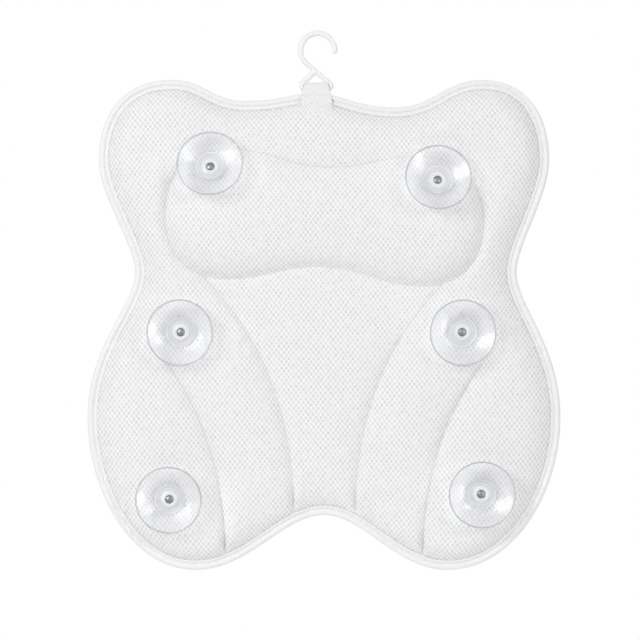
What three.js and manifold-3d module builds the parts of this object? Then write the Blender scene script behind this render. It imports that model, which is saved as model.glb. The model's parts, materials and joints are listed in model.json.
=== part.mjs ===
// Butterfly bath pillow: two quilted mesh panels over five fills, a piped edge, a hanging tab with
// a swinging hook, and six clear suction cups riveted to the back panel.
// Millimetres, +Z up, cups towards -Y. The origin is where a rail bears in the crest of the hook.
import * as THREE from 'three';
import { mergeVertices } from 'three/addons/utils/BufferGeometryUtils.js';
import Module from 'manifold-3d';

const wasm = await Module();
wasm.setup();

// Outline over the piping: spans across the pillow, and drops below the peak under the tab. Shifts
// and the slant are how far the sewn outline strays to the right, and how much lower its right is
const DIP_SPACING = 116;
const DIP_DROP = 9;
const DIP_SHIFT = -3;
const DIP_SLANT = 5;
const WING_CREST_SPACING = 244;
const WING_CREST_RISE = 10;
const WING_CREST_SHIFT = 3;
const WING_SPAN = 352;
const WING_SIDE_DROP = 53;
const WAIST_SPAN = 298;
const WAIST_DROP = 140;
const WAIST_SHIFT = 1.5;
const LOBE_SPAN = 368;
const LOBE_SIDE_DROP = 254;
const FOOT_SPACING = 194;
const FOOT_DROP = 373;
const NOTCH_DROP = 330;

// How far a bend holds its heading, as a share of the run to the next bend
const SWAY = 0.46;
const ROUND = 0.62;
const PEAK_EASE = 0.28;
const UNDER_WING_EASE = 0.31;
const WAIST_EASE = 0.23;
const FOOT_EASE = 0.41;
const NOTCH_EASE = 0.31;

// Bean-shaped head pad, sewn inside the wings with a slight tilt
const HEAD_SIDE_MARGIN = 24.5;
const HEAD_TOP_DROP = 58.5;
const HEAD_HEIGHT = 77.5;
const HEAD_LOBE_SPACING = 146;
const HEAD_LOBE_RISE = 11;
const HEAD_LOBE_SAG = 12;
const HEAD_FOOT_SPACING = 174;
const HEAD_TILT = -2.2;

// Curved seams: the inner pair runs from the head pad to the notch, the outer pair from side to foot
const INNER_SEAM_SPACING = 47;
const OUTER_SEAM_DROP = 176;
const OUTER_SEAM_SPACING = 148;
const SEAM_LEAN = 0.38;
const SEAM_FALL = 0.14;
const SEAM_PLUMB = 0.56;

// Padding: height of each crown above the seam plane, on the cup side and on the side one leans on
const CROWN = {
  head: { back: 22, front: 50 },
  wing: { back: 17, front: 33 },
  centre: { back: 15, front: 27 },
  lobe: { back: 17, front: 33 },
};
const SEAM_RISE = { back: 8, front: 13 };
const EDGE_RISE = 4;
const SEAM_BLEND = 45;

// Cover
const PANEL_WALL = 2.5;
const PIPING_DIAMETER = 8;
const PIPING_TAPE = 1;
const CLEARANCE = 0.3;

// Hook: round rod bent in one plane, its bar held in the fold of the tab
const ROD_DIAMETER = 4.4;
const CREST_DIAMETER = 22.4;
const TIP_ANGLE = -1;
const SHANK_ANGLE = -40;
const LEG_ANGLE = 44;
const BAR_DROP = 30.6;
const BAR_LENGTH = 16;
const ROD_BEND = 3.2;
const TIP_BULGE = 1.06;
const WELD_BULGE = 1.12;

// Tab: a strip folded over the bar and sewn down on both panels
const TAB_THICKNESS = 2.4;
const TAB_PLAY = 0.4;
const TAB_FOLD_WIDTH = 13;
const TAB_BASE_WIDTH = 26;
const TAB_LAP = 13;
const TAB_OFFSET = -6;
const BAR_GAP = 0.4;

// Suction cup, measured from its base up to the lip that seals on the wall
const CUP_DIAMETER = 52;
const CUP_HEIGHT = 12.5;
const CUP_LIP = 1.2;
const CUP_EDGE = 0.9;
const CUP_BOSS_DIAMETER = 21;
const CUP_BOSS_HEIGHT = 2.2;
const CUP_FLOOR = 4.4;
const CUP_SAG = 2;
const COLLAR_DIAMETER = 12.5;
const COLLAR_HEIGHT = 0.7;

// Where the cups sit: margins from the head pad's, waist's and lobes' sides, drops from the head
// pad's top and the outer seams' start, rise from the feet, and how far each pair strays by hand
const UPPER_CUP_MARGIN = 36.5;
const UPPER_CUP_DROP = 6.5;
const UPPER_CUP_SLANT = 10;
const MIDDLE_CUP_MARGIN = 40;
const MIDDLE_CUP_DROP = 11;
const MIDDLE_CUP_SHIFT = -2;
const LOWER_CUP_MARGIN = 63;
const LOWER_CUP_RISE = 58;
const LOWER_CUP_SHIFT = 1;
const LOWER_CUP_SLANT = -4;

// Rivet and backing washer that clamp a cup to the back panel
const RIVET_HEAD_DIAMETER = 6.2;
const RIVET_CROWN_DIAMETER = 4.1;
const RIVET_HEAD_HEIGHT = 1.5;
const RIVET_HEAD_EDGE = 0.5;
const RIVET_SHANK_DIAMETER = 3;
const RIVET_CLINCH_DIAMETER = 5;
const RIVET_CLINCH_HEIGHT = 1.2;
const RIVET_SEAT = 3.4;
const WASHER_DIAMETER = 14;
const WASHER_THICKNESS = 1.2;
const CLAMPED_PANEL = 2;

// Fineness of the facets, and how far each pad's ridge stays short of its ends
const EDGE_STEPS = 34;
const HEAD_STEPS = 9;
const HEAD_UNDER_STEPS = 3;
const SEAM_STEPS = 7;
const RIDGE_STEPS = { head: 6, wing: 26, centre: 6, lobe: 6 };
const RIDGE_TRIM = { head: 0.2, wing: 0.05, centre: 0.14, lobe: 0.22 };
const COVER_SHARES = { back: [0, 0.35], front: [0, 0.24, 0.6] };
const FILL_SHARES = [0, 0.35];
const MITER_FLOOR = 0.15;
const PIPING_SIDES = 9;
const ROD_SIDES = 8;
const ROD_STEPS = 52;
const BEND_STEPS = 3;
const FOLD_STEPS = 6;
const CUP_SIDES = 24;
const CUP_CURVE_STEPS = 2;
const RIVET_SIDES = 12;
const TOOL_SIDES = 6;
const PROBE_STEPS = 4;

// Finishes
const FINISH = {
  mesh: { color: '#eff0ef', roughness: 0.9 },
  piping: { color: '#f6f6f5', roughness: 0.6 },
  fill: { color: '#fbfbf8', roughness: 1 },
  hook: { color: '#f4f5f6', roughness: 0.3 },
  cup: { color: '#e4e6ee', roughness: 0.15 },
  metal: { color: '#a3a3a2', roughness: 0.35, metalness: 1 },
  washer: { color: '#ececea', roughness: 0.6 },
};

const SIGN = { back: -1, front: 1 };
const SIDES = ['back', 'front'];
const ACROSS = new THREE.Vector2(1, 0);
const DOWN = new THREE.Vector2(0, 1);
const UP = new THREE.Vector3(0, 1, 0);
const { degToRad, smoothstep } = THREE.MathUtils;

// Facets and booleans
class Facets {
  constructor() {
    this.points = [];
  }

  triangle(a, b, c) {
    this.points.push(a, b, c);
  }

  quad(a, b, c, d) {
    this.triangle(a, b, c);
    this.triangle(a, c, d);
  }

  geometry() {
    return mergeVertices(new THREE.BufferGeometry().setFromPoints(this.points));
  }
}

function toSolid(geometry) {
  const bare = geometry.clone();
  bare.deleteAttribute('normal');
  bare.deleteAttribute('uv');
  const welded = mergeVertices(bare);
  return new wasm.Manifold(new wasm.Mesh({
    numProp: 3,
    vertProperties: new Float32Array(welded.attributes.position.array),
    triVerts: new Uint32Array(welded.index.array),
  }));
}

function toGeometry(solid) {
  const mesh = solid.getMesh();
  const geometry = new THREE.BufferGeometry();
  geometry.setAttribute('position', new THREE.BufferAttribute(mesh.vertProperties, 3));
  geometry.setIndex(new THREE.BufferAttribute(mesh.triVerts, 1));
  return geometry;
}

function cut(geometry, tools) {
  return toGeometry(tools.reduce((solid, tool) => solid.subtract(toSolid(tool)), toSolid(geometry)));
}

function named(name, geometry, finish) {
  const mesh = new THREE.Mesh(geometry, new THREE.MeshStandardMaterial(finish));
  mesh.name = name;
  return mesh;
}

const heading = (angle) => new THREE.Vector2(Math.cos(degToRad(angle)), Math.sin(degToRad(angle)));
const leftward = (angle) => heading(angle + 90);

// Plan curves: points are (x, z) with the top edge at z = 0, and every loop runs clockwise
const mirrored = (point) => new THREE.Vector2(-point.x, point.y);

function station(x, z, along, arrive, leave) {
  return { at: new THREE.Vector2(x, z), along, arrive, leave };
}

function contour(stations) {
  const path = new THREE.CurvePath();
  stations.slice(1).forEach((to, i) => {
    const from = stations[i];
    const run = to.at.clone().sub(from.at);
    const first = run.clone().multiply(from.along).multiplyScalar(from.leave).add(from.at);
    const last = run.clone().multiply(to.along).multiplyScalar(-to.arrive).add(to.at);
    path.add(new THREE.CubicBezierCurve(from.at, first, last, to.at));
  });
  return path;
}

function symmetricLoop(half) {
  return [...half, ...half.slice(1, -1).reverse().map(mirrored)];
}

function stretch(loop, from, to) {
  const count = ((to - from + loop.length) % loop.length) + 1;
  return Array.from({ length: count }, (_, i) => loop[(from + i) % loop.length]);
}

function nearestIndex(points, x, z) {
  const target = new THREE.Vector2(x, z);
  const gaps = points.map((point) => point.distanceTo(target));
  return gaps.indexOf(Math.min(...gaps));
}

function nearestOn(line, point) {
  let best = line[0];
  for (let i = 1; i < line.length; i += 1) {
    const run = line[i].clone().sub(line[i - 1]);
    const share = point.clone().sub(line[i - 1]).dot(run) / run.lengthSq();
    const foot = run.multiplyScalar(THREE.MathUtils.clamp(share, 0, 1)).add(line[i - 1]);
    if (foot.distanceTo(point) < best.distanceTo(point)) best = foot;
  }
  return best;
}

// Moves every point of a clockwise loop inwards, or outwards where the distance is negative
function inset(loop, distance) {
  return loop.map((point, i) => {
    const before = loop[(i + loop.length - 1) % loop.length];
    const after = loop[(i + 1) % loop.length];
    const normals = [point.clone().sub(before), after.clone().sub(point)]
      .map((run) => new THREE.Vector2(run.y, -run.x).normalize());
    const spread = Math.max(1 + normals[0].dot(normals[1]), MITER_FLOOR);
    return normals[0].add(normals[1]).multiplyScalar(distance / spread).add(point);
  });
}

// Ridge line halfway between two sides of a pad that run the same way, less a share of its ends
function midline(one, other, kind) {
  const [a, b] = [one, other].map((side) => new THREE.SplineCurve(side));
  const trim = RIDGE_TRIM[kind];
  return Array.from({ length: RIDGE_STEPS[kind] + 1 }, (_, i) => {
    const share = trim + ((1 - 2 * trim) * i) / RIDGE_STEPS[kind];
    return a.getPointAt(share).lerp(b.getPointAt(share), 1 / 2);
  });
}

// Outline, head pad and seams
function outlineHalf(hand) {
  const across = (spacing, shift = 0) => (hand * spacing) / 2 + shift;
  const dipDrop = DIP_DROP + across(DIP_SLANT);
  return contour([
    station(TAB_OFFSET, 0, ACROSS, PEAK_EASE, PEAK_EASE),
    station(across(DIP_SPACING, DIP_SHIFT), -dipDrop, ACROSS, SWAY, SWAY),
    station(across(WING_CREST_SPACING, WING_CREST_SHIFT), WING_CREST_RISE, ACROSS, SWAY, ROUND),
    station(across(WING_SPAN), -WING_SIDE_DROP, DOWN, ROUND, UNDER_WING_EASE),
    station(across(WAIST_SPAN, WAIST_SHIFT), -WAIST_DROP, DOWN, WAIST_EASE, WAIST_EASE),
    station(across(LOBE_SPAN), -LOBE_SIDE_DROP, DOWN, SWAY, SWAY),
    station(across(FOOT_SPACING), -FOOT_DROP, ACROSS, ROUND, FOOT_EASE),
    station(0, -NOTCH_DROP, ACROSS, NOTCH_EASE, NOTCH_EASE),
  ]).getSpacedPoints(EDGE_STEPS);
}

const silhouette = [...outlineHalf(1), ...outlineHalf(-1).slice(1, -1).reverse()];
const edge = inset(silhouette, PIPING_DIAMETER + CLEARANCE);

const headHalf = WAIST_SPAN / 2 - HEAD_SIDE_MARGIN;
const headTop = -HEAD_TOP_DROP + HEAD_LOBE_RISE;
const headBottom = -HEAD_TOP_DROP - HEAD_HEIGHT - HEAD_LOBE_SAG;
const headMiddle = (headTop + headBottom) / 2;
const headFoot = station(HEAD_FOOT_SPACING / 2, headBottom, ACROSS, ROUND, SWAY);
const head = symmetricLoop([
  ...contour([
    station(0, -HEAD_TOP_DROP, ACROSS, SWAY, SWAY),
    station(HEAD_LOBE_SPACING / 2, headTop, ACROSS, SWAY, ROUND),
    station(headHalf, headMiddle, DOWN, ROUND, ROUND),
    headFoot,
  ]).getSpacedPoints(HEAD_STEPS),
  ...contour([
    headFoot,
    station(0, -HEAD_TOP_DROP - HEAD_HEIGHT, ACROSS, SWAY, SWAY),
  ]).getSpacedPoints(HEAD_UNDER_STEPS).slice(1),
]).map((point) => point.rotateAround(new THREE.Vector2(0, headMiddle), degToRad(HEAD_TILT)));

function seam(from, to) {
  const run = to.clone().sub(from);
  const lean = new THREE.Vector2(from.x + run.x * SEAM_LEAN, from.y + run.y * SEAM_FALL);
  const plumb = new THREE.Vector2(to.x, to.y - run.y * SEAM_PLUMB);
  const points = new THREE.CubicBezierCurve(from, lean, plumb, to).getSpacedPoints(SEAM_STEPS);
  return [from, ...points.slice(1, -1), to];
}

const rightEdge = edge.slice(0, EDGE_STEPS + 1);
const sideEnd = nearestIndex(rightEdge, WAIST_SPAN / 2, -OUTER_SEAM_DROP);
const footEnd = nearestIndex(rightEdge, OUTER_SEAM_SPACING / 2, -FOOT_DROP);
const notchEnd = nearestIndex(rightEdge, INNER_SEAM_SPACING / 2, -NOTCH_DROP);
const headEnd = HEAD_STEPS;
const leftOf = (index, loop) => loop.length - index;

const innerRight = seam(head[headEnd], edge[notchEnd]);
const outerRight = seam(edge[sideEnd], edge[footEnd]);
const innerLeft = seam(head[leftOf(headEnd, head)], edge[leftOf(notchEnd, edge)]);
const outerLeft = seam(edge[leftOf(sideEnd, edge)], edge[leftOf(footEnd, edge)]);
const upwards = (line) => [...line].reverse();
const joinLoop = (...runs) => runs.flatMap((run) => run.slice(0, -1));

// Sewn pads: loop, middle line and crowns
const rightSide = stretch(edge, sideEnd, footEnd);
const leftSide = stretch(edge, leftOf(footEnd, edge), leftOf(sideEnd, edge));
const topEdge = stretch(edge, leftOf(sideEnd, edge), sideEnd);
const notchEdge = stretch(edge, notchEnd, leftOf(notchEnd, edge));
const headUnder = stretch(head, headEnd, leftOf(headEnd, head));
const headOver = stretch(head, leftOf(headEnd, head), headEnd);
const headSide = nearestIndex(head.slice(0, HEAD_STEPS + 1), WAIST_SPAN, headMiddle);
const wingOuter = [...upwards(outerLeft), ...topEdge.slice(1), ...outerRight.slice(1)];
const wingInner = [...upwards(innerLeft), ...headOver.slice(1), ...innerRight.slice(1)];

const pads = {
  head: {
    loop: head,
    ridge: midline(stretch(head, leftOf(headSide, head), headSide),
      upwards(stretch(head, headSide, leftOf(headSide, head))), 'head'),
    crown: CROWN.head,
  },
  wing: {
    loop: joinLoop(topEdge, outerRight, stretch(edge, footEnd, notchEnd), upwards(innerRight),
      upwards(headOver), innerLeft, stretch(edge, leftOf(notchEnd, edge), leftOf(footEnd, edge)),
      upwards(outerLeft)),
    ridge: midline(wingOuter, wingInner, 'wing'),
    crown: CROWN.wing,
  },
  centre: {
    loop: joinLoop(innerRight, notchEdge, upwards(innerLeft), upwards(headUnder)),
    ridge: midline(innerRight, innerLeft, 'centre'),
    crown: CROWN.centre,
  },
  left_lobe: {
    loop: joinLoop(leftSide, outerLeft),
    ridge: midline(upwards(leftSide), outerLeft, 'lobe'),
    crown: CROWN.lobe,
  },
  right_lobe: {
    loop: joinLoop(rightSide, upwards(outerRight)),
    ridge: midline(rightSide, outerRight, 'lobe'),
    crown: CROWN.lobe,
  },
};

const closedEdge = [...edge, edge[0]];

function rimHeight(point, side) {
  const away = nearestOn(closedEdge, point).distanceTo(point);
  return EDGE_RISE + (SEAM_RISE[side] - EDGE_RISE) * smoothstep(away, 0, SEAM_BLEND);
}

// Rings that climb from a pad's seam towards its ridge, set back by a wall
function crownRings(pad, side, shares, wall) {
  const loop = inset(pad.loop, wall);
  const rims = pad.loop.map((point) => rimHeight(point, side));
  return shares.map((share) => loop.map((point, i) => {
    const plan = point.clone().lerp(nearestOn(pad.ridge, pad.loop[i]), share);
    const climb = (pad.crown[side] - rims[i]) * Math.sqrt(1 - (1 - share) ** 2);
    return new THREE.Vector3(plan.x, SIGN[side] * (rims[i] + climb - wall), plan.y);
  }));
}

function addCrown(facets, pad, side, shares, wall) {
  const facing = (a, b, c) => (side === 'back' ? facets.triangle(a, b, c) : facets.triangle(a, c, b));
  const rings = crownRings(pad, side, shares, wall);
  const last = rings.at(-1);
  const following = (i) => (i + 1) % last.length;
  rings.slice(1).forEach((ring, level) => rings[level].forEach((a, i) => {
    facing(a, ring[i], ring[following(i)]);
    facing(a, ring[following(i)], rings[level][following(i)]);
  }));
  const crest = pad.ridge.map((p) => new THREE.Vector3(p.x, SIGN[side] * (pad.crown[side] - wall), p.y));
  const feet = pad.loop.map((point) => nearestIndex(pad.ridge, point.x, point.y));
  last.forEach((a, i) => {
    const end = feet[following(i)];
    const step = Math.sign(end - feet[i]);
    for (let k = feet[i]; k !== end; k += step) facing(a, crest[k], crest[k + step]);
    facing(a, crest[end], last[following(i)]);
  });
  return rings[0];
}

function addWall(facets, nearRing, farRing) {
  nearRing.forEach((a, i) => {
    const next = (i + 1) % nearRing.length;
    facets.quad(a, nearRing[next], farRing[next], farRing[i]);
  });
}

// One side of the cover as a solid: all crowns, the wall along the edge and a flat inner face
function quilt(side) {
  const facets = new Facets();
  Object.values(pads).forEach((pad) => addCrown(facets, pad, side, COVER_SHARES[side], 0));
  const atHeight = (height) => edge.map((p) => new THREE.Vector3(p.x, SIGN[side] * height, p.y));
  const outer = atHeight(EDGE_RISE);
  const inner = atHeight(PIPING_TAPE / 2 + CLEARANCE);
  const rings = side === 'back' ? [outer, inner] : [inner, outer];
  addWall(facets, ...rings);
  THREE.ShapeUtils.triangulateShape(edge, []).forEach(([a, b, c]) => {
    const clockwise = edge[b].clone().sub(edge[a]).cross(edge[c].clone().sub(edge[a])) < 0;
    const order = clockwise === (side === 'back') ? [a, b, c] : [a, c, b];
    facets.triangle(...order.map((i) => inner[i]));
  });
  return facets.geometry();
}

function padSolid(pad, wall) {
  const facets = new Facets();
  const rims = SIDES.map((side) => addCrown(facets, pad, side, FILL_SHARES, wall));
  addWall(facets, ...rims);
  return facets.geometry();
}

// Revolved pieces stand on their own axis, which the cup's group lays along the panel's normal
function revolve(profile, sides) {
  return new THREE.LatheGeometry(profile.map(([r, y]) => new THREE.Vector2(r, y)), sides);
}

const shankHole = RIVET_SHANK_DIAMETER / 2 + CLEARANCE;

const cupRadius = CUP_DIAMETER / 2;
const boss = CUP_BOSS_DIAMETER / 2;

function dish(fromR, fromY, toR, toY) {
  const sag = new THREE.Vector2((fromR + toR) / 2, (fromY + toY) / 2 - CUP_SAG);
  return new THREE.QuadraticBezierCurve(new THREE.Vector2(fromR, fromY), sag, new THREE.Vector2(toR, toY));
}

const skirt = dish(boss, CUP_BOSS_HEIGHT, cupRadius, CUP_HEIGHT - CUP_EDGE);
const bowl = dish(cupRadius - CUP_LIP, CUP_HEIGHT, boss, CUP_FLOOR);

function cupGeometry() {
  const recess = RIVET_HEAD_DIAMETER / 2 + CLEARANCE;
  const [under, over] = [skirt, bowl]
    .map((curve) => curve.getPoints(CUP_CURVE_STEPS).map((p) => p.toArray()));
  return revolve([
    [shankHole, 0],
    [boss, 0],
    ...under,
    [cupRadius, CUP_HEIGHT],
    ...over,
    [COLLAR_DIAMETER / 2, CUP_FLOOR],
    [COLLAR_DIAMETER / 2, CUP_FLOOR + COLLAR_HEIGHT],
    [recess, CUP_FLOOR + COLLAR_HEIGHT],
    [recess, RIVET_SEAT],
    [shankHole, RIVET_SEAT],
    [shankHole, 0],
  ], CUP_SIDES);
}

const washerTop = -CLAMPED_PANEL - CLEARANCE;
const clinchTop = washerTop - WASHER_THICKNESS - CLEARANCE;
const clinchEnd = clinchTop - RIVET_CLINCH_HEIGHT;
const headSeat = RIVET_SEAT + 2 * CLEARANCE;

function rivetGeometry() {
  const shank = RIVET_SHANK_DIAMETER / 2;
  const clinch = RIVET_CLINCH_DIAMETER / 2;
  const headRadius = RIVET_HEAD_DIAMETER / 2;
  return revolve([
    [0, clinchEnd],
    [clinch, clinchEnd],
    [clinch, clinchTop],
    [shank, clinchTop],
    [shank, headSeat],
    [headRadius, headSeat],
    [headRadius, headSeat + RIVET_HEAD_EDGE],
    [RIVET_CROWN_DIAMETER / 2, headSeat + RIVET_HEAD_HEIGHT],
    [0, headSeat + RIVET_HEAD_HEIGHT],
  ], RIVET_SIDES);
}

function washerGeometry() {
  const radius = WASHER_DIAMETER / 2;
  return revolve([
    [shankHole, washerTop - WASHER_THICKNESS],
    [radius, washerTop - WASHER_THICKNESS],
    [radius, washerTop],
    [shankHole, washerTop],
    [shankHole, washerTop - WASHER_THICKNESS],
  ], RIVET_SIDES);
}

// What a rivet takes out of the panel and the fill: the shank's hole and the washer's pocket
function seatTool() {
  const [hole, pocket] = [shankHole, WASHER_DIAMETER / 2 + CLEARANCE]
    .map((radius) => radius / Math.cos(Math.PI / TOOL_SIDES));
  return revolve([
    [0, clinchEnd - CLEARANCE],
    [pocket, clinchEnd - CLEARANCE],
    [pocket, -CLAMPED_PANEL],
    [hole, -CLAMPED_PANEL],
    [hole, CUP_FLOOR],
    [0, CUP_FLOOR],
  ], TOOL_SIDES);
}

// Cup groups, each standing square to the mean slope of the panel under its boss
const covers = Object.fromEntries(SIDES.map((side) => [side, quilt(side)]));

function cupGroup(place) {
  const surface = new THREE.Mesh(covers.back);
  const probe = (offset) => new THREE.Raycaster(
    new THREE.Vector3(place.x + offset.x, -WING_SPAN, offset.y - place.drop),
    UP,
  ).intersectObject(surface)[0];
  const middle = probe(new THREE.Vector2()).point;
  const base = Array.from({ length: PROBE_STEPS }, (_, i) => (
    new THREE.Vector2((boss * (i + 1)) / PROBE_STEPS, 0)));
  const hits = [...base, ...skirt.getPoints(PROBE_STEPS)].flatMap(({ x: radius, y: room }) => (
    Array.from({ length: CUP_SIDES }, (_, i) => (
      { ...probe(heading((360 * i) / CUP_SIDES).multiplyScalar(radius)), room }))));
  const normal = hits.reduce((sum, hit) => sum.add(hit.face.normal), new THREE.Vector3()).normalize();
  const lift = Math.max(0, ...hits.map((hit) => hit.point.clone().sub(middle).dot(normal) - hit.room));
  const group = new THREE.Group();
  group.position.copy(normal).multiplyScalar(lift).add(middle);
  group.quaternion.setFromUnitVectors(UP, normal);
  const cup = named(`suction_cup_${place.name}`, cupGeometry(), FINISH.cup);
  cup.position.y = CLEARANCE;
  group.add(cup);
  group.add(named(`cup_rivet_${place.name}`, rivetGeometry(), FINISH.metal));
  group.add(named(`backing_washer_${place.name}`, washerGeometry(), FINISH.washer));
  group.updateMatrix();
  return group;
}

function cupPair(row, x, drop, shift, slant) {
  return [
    { name: `${row}_left`, x: shift - x, drop: drop - slant / 2 },
    { name: `${row}_right`, x: shift + x, drop: drop + slant / 2 },
  ];
}

const cups = [
  ...cupPair('upper', headHalf - UPPER_CUP_MARGIN, HEAD_TOP_DROP + UPPER_CUP_DROP, 0, UPPER_CUP_SLANT),
  ...cupPair('middle', WAIST_SPAN / 2 - MIDDLE_CUP_MARGIN, OUTER_SEAM_DROP + MIDDLE_CUP_DROP,
    MIDDLE_CUP_SHIFT, 0),
  ...cupPair('lower', LOBE_SPAN / 2 - LOWER_CUP_MARGIN, FOOT_DROP - LOWER_CUP_RISE,
    LOWER_CUP_SHIFT, LOWER_CUP_SLANT),
].map(cupGroup);
const seats = cups.map((group) => seatTool().applyMatrix4(group.matrix));

// Piping: a round cord with a sewing tape that lies between the panels
function pipingGeometry() {
  const radius = PIPING_DIAMETER / 2;
  const tape = PIPING_TAPE / 2;
  const tapeEnd = PIPING_DIAMETER + PANEL_WALL;
  const first = Math.PI - Math.asin(tape / radius);
  const section = Array.from({ length: PIPING_SIDES }, (_, i) => {
    const angle = first - (2 * first * i) / (PIPING_SIDES - 1);
    return [radius - radius * Math.cos(angle), radius * Math.sin(angle)];
  });
  const rings = [[tapeEnd, tape], ...section, [tapeEnd, -tape]].map(([depth, y]) => (
    inset(silhouette, depth).map((p) => new THREE.Vector3(p.x, y, p.y))));
  const facets = new Facets();
  rings.forEach((ring, i) => addWall(facets, rings[(i + 1) % rings.length], ring));
  return facets.geometry();
}

// Hook, in the seam plane: crest, straight shank, bend, bar, bend and the leg that meets the shank
const rodRadius = ROD_DIAMETER / 2;
const crestRadius = CREST_DIAMETER / 2 + rodRadius;
const crest = new THREE.Vector2(0, -CREST_DIAMETER / 2);
const barHeight = crest.y - BAR_DROP;
const barRise = rodRadius + BAR_GAP;

function hookLines() {
  const shankStart = leftward(SHANK_ANGLE).multiplyScalar(-crestRadius).add(crest);
  const bendHeight = barHeight + ROD_BEND;
  const shankEndHeight = bendHeight + leftward(SHANK_ANGLE).y * ROD_BEND;
  const shankLength = (shankEndHeight - shankStart.y) / heading(SHANK_ANGLE).y;
  const shankEnd = heading(SHANK_ANGLE).multiplyScalar(shankLength).add(shankStart);
  const rightBend = leftward(SHANK_ANGLE).multiplyScalar(-ROD_BEND).add(shankEnd);
  const leftBend = new THREE.Vector2(rightBend.x - BAR_LENGTH, bendHeight);
  const legStart = leftward(LEG_ANGLE).multiplyScalar(ROD_BEND).add(leftBend);
  const apart = shankStart.clone().sub(legStart);
  const legLength = apart.cross(heading(SHANK_ANGLE)) / heading(LEG_ANGLE).cross(heading(SHANK_ANGLE));
  const weld = heading(LEG_ANGLE).multiplyScalar(legLength).add(legStart);
  return { shankStart, shankEnd, rightBend, leftBend, legStart, weld };
}

const rod = hookLines();
const barCentre = (rod.rightBend.x + rod.leftBend.x) / 2;

function arcPoints(centre, radius, from, to, spacing) {
  const count = Math.max(BEND_STEPS, Math.round(Math.abs(degToRad(to - from)) * radius / spacing));
  return Array.from({ length: count + 1 }, (_, i) => (
    heading(from + ((to - from) * i) / count).multiplyScalar(radius).add(centre)));
}

function hookGeometry() {
  const spacing = ROD_DIAMETER / 2;
  const legEnd = heading(LEG_ANGLE).multiplyScalar(-ROD_DIAMETER).add(rod.weld);
  const line = [
    ...arcPoints(crest, crestRadius, TIP_ANGLE, SHANK_ANGLE + 270, spacing),
    ...arcPoints(rod.rightBend, ROD_BEND, SHANK_ANGLE + 90, -90, spacing),
    ...arcPoints(rod.leftBend, ROD_BEND, 270, LEG_ANGLE + 90, spacing),
    legEnd,
  ].map((p) => new THREE.Vector3(p.x, 0, p.y));
  const path = new THREE.CurvePath();
  line.slice(1).forEach((to, i) => path.add(new THREE.LineCurve3(line[i], to)));
  const round = new THREE.Shape(Array.from({ length: ROD_SIDES }, (_, i) => (
    heading((360 * i) / ROD_SIDES).multiplyScalar(rodRadius))));
  const bent = new THREE.ExtrudeGeometry(round, { extrudePath: path, steps: ROD_STEPS });
  const ball = (at, bulge) => new THREE.SphereGeometry(rodRadius * bulge, ROD_SIDES, ROD_SIDES)
    .translate(at.x, 0, at.z);
  const weldAt = new THREE.Vector3(rod.weld.x, 0, rod.weld.y);
  const legTop = line.at(-1).clone().lerp(weldAt, 1 / 2);
  const balls = [ball(line[0], TIP_BULGE), ball(weldAt, WELD_BULGE), ball(legTop, WELD_BULGE)];
  return toGeometry(balls.reduce((solid, next) => solid.add(toSolid(next)), toSolid(bent)));
}

// Tab: a ribbon round the bar and the piping that runs down both crowns, trimmed to a taper
const topEdgeHeight = barHeight - barRise;

function ribbon(line, thickness) {
  const outer = line.map((point, i) => {
    const before = line[Math.max(i - 1, 0)];
    const after = line[Math.min(i + 1, line.length - 1)];
    const normals = [[before, point], [point, after]]
      .map(([a, b]) => b.clone().sub(a))
      .filter((run) => run.length() > 0)
      .map((run) => new THREE.Vector2(-run.y, run.x).normalize());
    const last = normals.at(-1);
    const spread = Math.max(1 + normals[0].dot(last), MITER_FLOOR);
    return normals[0].clone().add(last).multiplyScalar(thickness / spread).add(point);
  });
  return new THREE.Shape([...line, ...outer.reverse()]);
}

// Inner line of one leg, from the fold down: round the bar, past the piping and along the panel
function tabLeg(side) {
  const bar = rodRadius + TAB_PLAY;
  const cord = PIPING_DIAMETER / 2 + TAB_PLAY;
  const fall = barRise + PIPING_DIAMETER / 2;
  const tangent = Math.asin((cord - bar) / fall);
  const fold = Array.from({ length: FOLD_STEPS + 1 }, (_, i) => {
    const angle = Math.PI / 2 + ((tangent - Math.PI / 2) * i) / FOLD_STEPS;
    return new THREE.Vector2(Math.cos(angle), Math.sin(angle)).multiplyScalar(bar);
  });
  const past = new THREE.Vector2(cord, -fall);
  const rings = crownRings(pads.wing, side, COVER_SHARES[side], 0);
  const top = pads.wing.loop.indexOf(edge[0]);
  const crown = rings.map((ring) => new THREE.Vector2(Math.abs(ring[top].y), ring[top].z - barRise));
  const lifted = ribbon(crown, TAB_PLAY).getPoints().slice(crown.length, 2 * crown.length).reverse();
  const lap = new THREE.SplineCurve(lifted);
  const share = Math.min(1, TAB_LAP / lap.getLength());
  const down = Array.from({ length: FOLD_STEPS + 1 }, (_, i) => lap.getPointAt((share * i) / FOLD_STEPS));
  return [...fold, past, ...down];
}

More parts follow.
